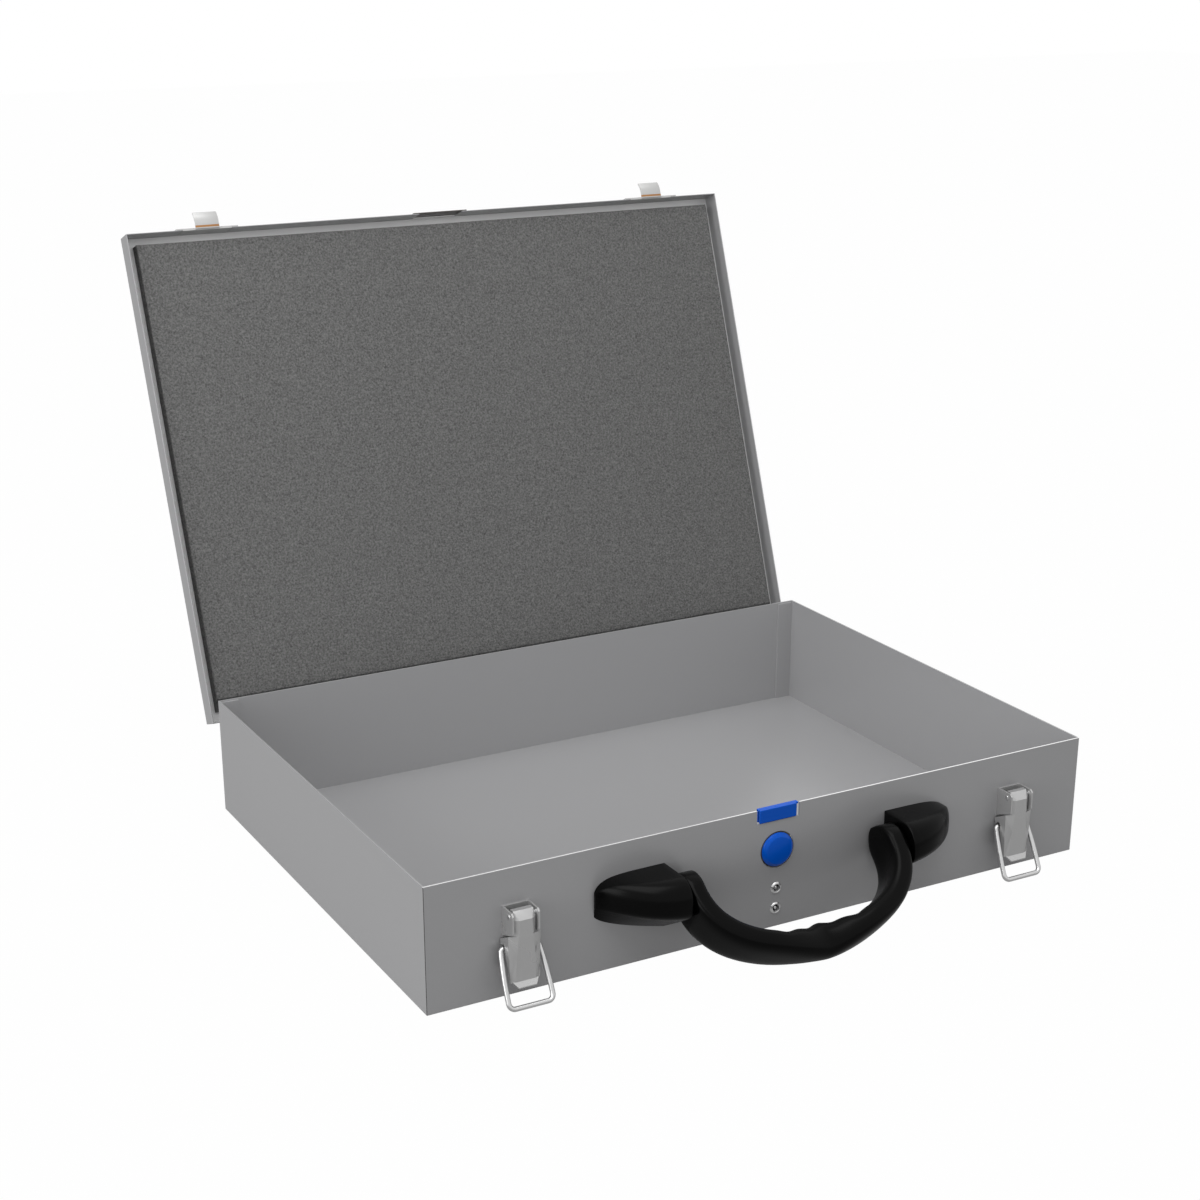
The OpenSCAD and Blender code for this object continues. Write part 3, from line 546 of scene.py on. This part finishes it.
def grip_line(k):
    """The middle line from an eye at 0 to the grip's middle at 1."""
    a, b = (eye_middle, 0), (eye_middle, grip_reach * 0.91)
    c, d = (eye_middle * 0.19, grip_reach), (0, grip_reach)
    spot = []
    for i in (0, 1):
        early = (1 - k) ** 3 * a[i] + 3 * (1 - k) ** 2 * k * b[i]
        spot.append(early + 3 * (1 - k) * k * k * c[i] + k**3 * d[i])
    return Vector(spot)


def grip_ring(k, sign, count=32):
    """A rounded box at the eyes, an oval at the middle; k below 0 rounds off the eye."""
    if k < 0:
        back = -k * eye_radius
        middle, way = Vector((eye_middle, -back)), Vector((0, 1))
        inner = outer = 0.0058
        wide = math.sqrt(max(eye_radius**2 - back**2, 0.0000001))
        box = 5.0
    else:
        middle = grip_line(k)
        way = (grip_line(min(k + 0.001, 1)) - grip_line(max(k - 0.001, 0))).normalized()
        wave = (1 - math.cos(2 * math.pi * middle.x / hollow_pitch)) / 2
        dip = hollow_depth * wave if abs(middle.x) < hollow_span else 0
        inner = eased((0.0058, 0.007, 0.0116), k) - dip
        outer = eased((0.0058, 0.0068, 0.0093), k)
        wide = eased((0.0139, 0.014, 0.008), k)
        box = eased((5.0, 3.2, 2.2), k)
    out = Vector((-way.y, way.x))
    ring = []
    for step in range(count):
        turn = 2 * math.pi * (step + 0.5) / count
        across, along = math.cos(turn), math.sin(turn)
        reach = (inner if across > 0 else outer) * math.copysign(abs(across) ** (2 / box), across)
        lift = wide * math.copysign(abs(along) ** (2 / box), along)
        x, y = middle.x + out.x * reach, middle.y + out.y * reach
        ring.append(hang @ Vector((sign * x, -y, lift)))
    return ring


grip_shape = bmesh.new()
grip_stops = [-0.996] + [-math.cos(math.radians(9 * i)) for i in range(2, 10)]
grip_stops += [i / 44 for i in range(45)]
grip_rings = [grip_ring(k, 1) for k in grip_stops]
grip_rings += [grip_ring(k, -1) for k in reversed(grip_stops[:-1])]
lofted(grip_shape, grip_rings)
bmesh.ops.recalc_face_normals(grip_shape, faces=grip_shape.faces)
grip = smoothed(grip_shape, "grip", 60, black_moulding)
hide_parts("handle_grip")
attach(grip, "handle")

# Snap lock: a spring steel strip inside the wall, held by two hollow rivets, carries
# a turned blue button and, at the rim, a blue moulded tab.
blue_moulding = surface(
    "blue_moulding", (0.0005, 0.085, 0.52), 0.0, 0.25, 0.02, 1600, 0.02, 0.04, 0.16
)


def turned(name, profile, height, finish, steps=64):
    """Spins a profile of (radius, depth) points about an axis along Y."""
    shape = bmesh.new()
    corners = [shape.verts.new((radius, front_wall + depth, height)) for radius, depth in profile]
    edges = [shape.edges.new((a, b)) for a, b in zip(corners, corners[1:])]
    bmesh.ops.spin(
        shape,
        geom=corners + edges,
        cent=(0, 0, height),
        axis=(0, 1, 0),
        dvec=(0, 0, 0),
        angle=2 * math.pi,
        steps=steps,
        use_merge=True,
    )
    bmesh.ops.remove_doubles(shape, verts=shape.verts, dist=0.000005)
    bmesh.ops.recalc_face_normals(shape, faces=shape.faces)
    return smoothed(shape, name, 35, finish)


button_height, button_rim = 0.0485, 0.01035
button_profile = [
    (0, -0.0022), (0.0081, -0.0022), (0.0084, -0.0021), (0.0100, -0.0008), (0.0103, -0.0004),
    (0.0104, 0.0002), (0.0109, 0.0002), (0.0109, 0.0009), (0.003, 0.0009), (0.003, 0.0018),
    (0.0045, 0.0018), (0.0045, 0.0028), (0.0040, 0.003), (0, 0.003),
]
button = turned("button", button_profile, button_height, blue_moulding)
# The button's outer rim is painted near black: painted shade of the gap round the button.
button.data.materials.append(painted_shade)
for face in button.data.polygons:
    if math.hypot(face.center.x, face.center.z - button_height) > button_rim:
        face.material_index = 1
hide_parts("push_button")
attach(button, "lock")

tab_shape = bmesh.new()
for low, high in (
    ((-0.0126, -0.0007, 0.067), (0.01205, 0.0010, 0.075)),
    ((-0.0126, 0.0008, 0.0738), (0.0140, 0.0036, 0.075)),
    ((-0.0126, 0.0018, 0.067), (0.01205, 0.0036, 0.0748)),
):
    made = bmesh.ops.create_cube(tab_shape, size=1)["verts"]
    bmesh.ops.scale(tab_shape, vec=[b - a for a, b in zip(low, high)], verts=made)
    middle = [(a + b) / 2 for a, b in zip(low, high)]
    bmesh.ops.translate(tab_shape, vec=(middle[0], front_wall + middle[1], middle[2]), verts=made)
rounded(tab_shape, list(tab_shape.edges), 0.0003, 2)
tab_mesh = bpy.data.meshes.new("tab")
tab_shape.to_mesh(tab_mesh)
tab_shape.free()
tab_mesh.materials.append(blue_moulding)
tab = bpy.data.objects.new("tab", tab_mesh)
bpy.context.collection.objects.link(tab)
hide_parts("snap_tab")
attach(tab, "lock")

spring_steel = surface("spring_steel", (0.30, 0.30, 0.31), 0.5, 0.5, 0.03, 1500, 0.02, 0.03)
strip = pressed("lock_spring", "spring_strip", spring_steel, 0.0001)
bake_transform(strip)
rivet_profile = [
    (0, -0.0001), (0.0007, -0.0001), (0.0010, 0.0002), (0.0010, 0.0014), (0.0021, 0.0014),
    (0.0021, -0.0003), (0.0022, -0.0006), (0.0025, -0.0008), (0.0029, -0.00075), (0.0033, -0.0004),
    (0.0036, 0), (0.0022, 0), (0.0022, 0.0018), (0.0028, 0.0018), (0.0028, 0.0023),
    (0.0025, 0.0026), (0, 0.0026),
]
groove_in, groove_out, groove_lip, groove_floor = 0.00095, 0.00212, 0.0002, 0.0016
for place, height in (("high", 0.0244), ("low", 0.0116)):
    rivet = turned("hollow_rivet_" + place, rivet_profile, height, bright_plate, 48)
    # The groove round each rivet's hollow is painted near black: painted shade in the recess.
    rivet.data.materials.append(painted_shade)
    for face in rivet.data.polygons:
        away = math.hypot(face.center.x, face.center.z - height)
        depth = face.center.y - front_wall
        if groove_in < away < groove_out and groove_lip < depth < groove_floor:
            face.material_index = 1
    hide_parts("lock_rivets")
    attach(rivet, "base")
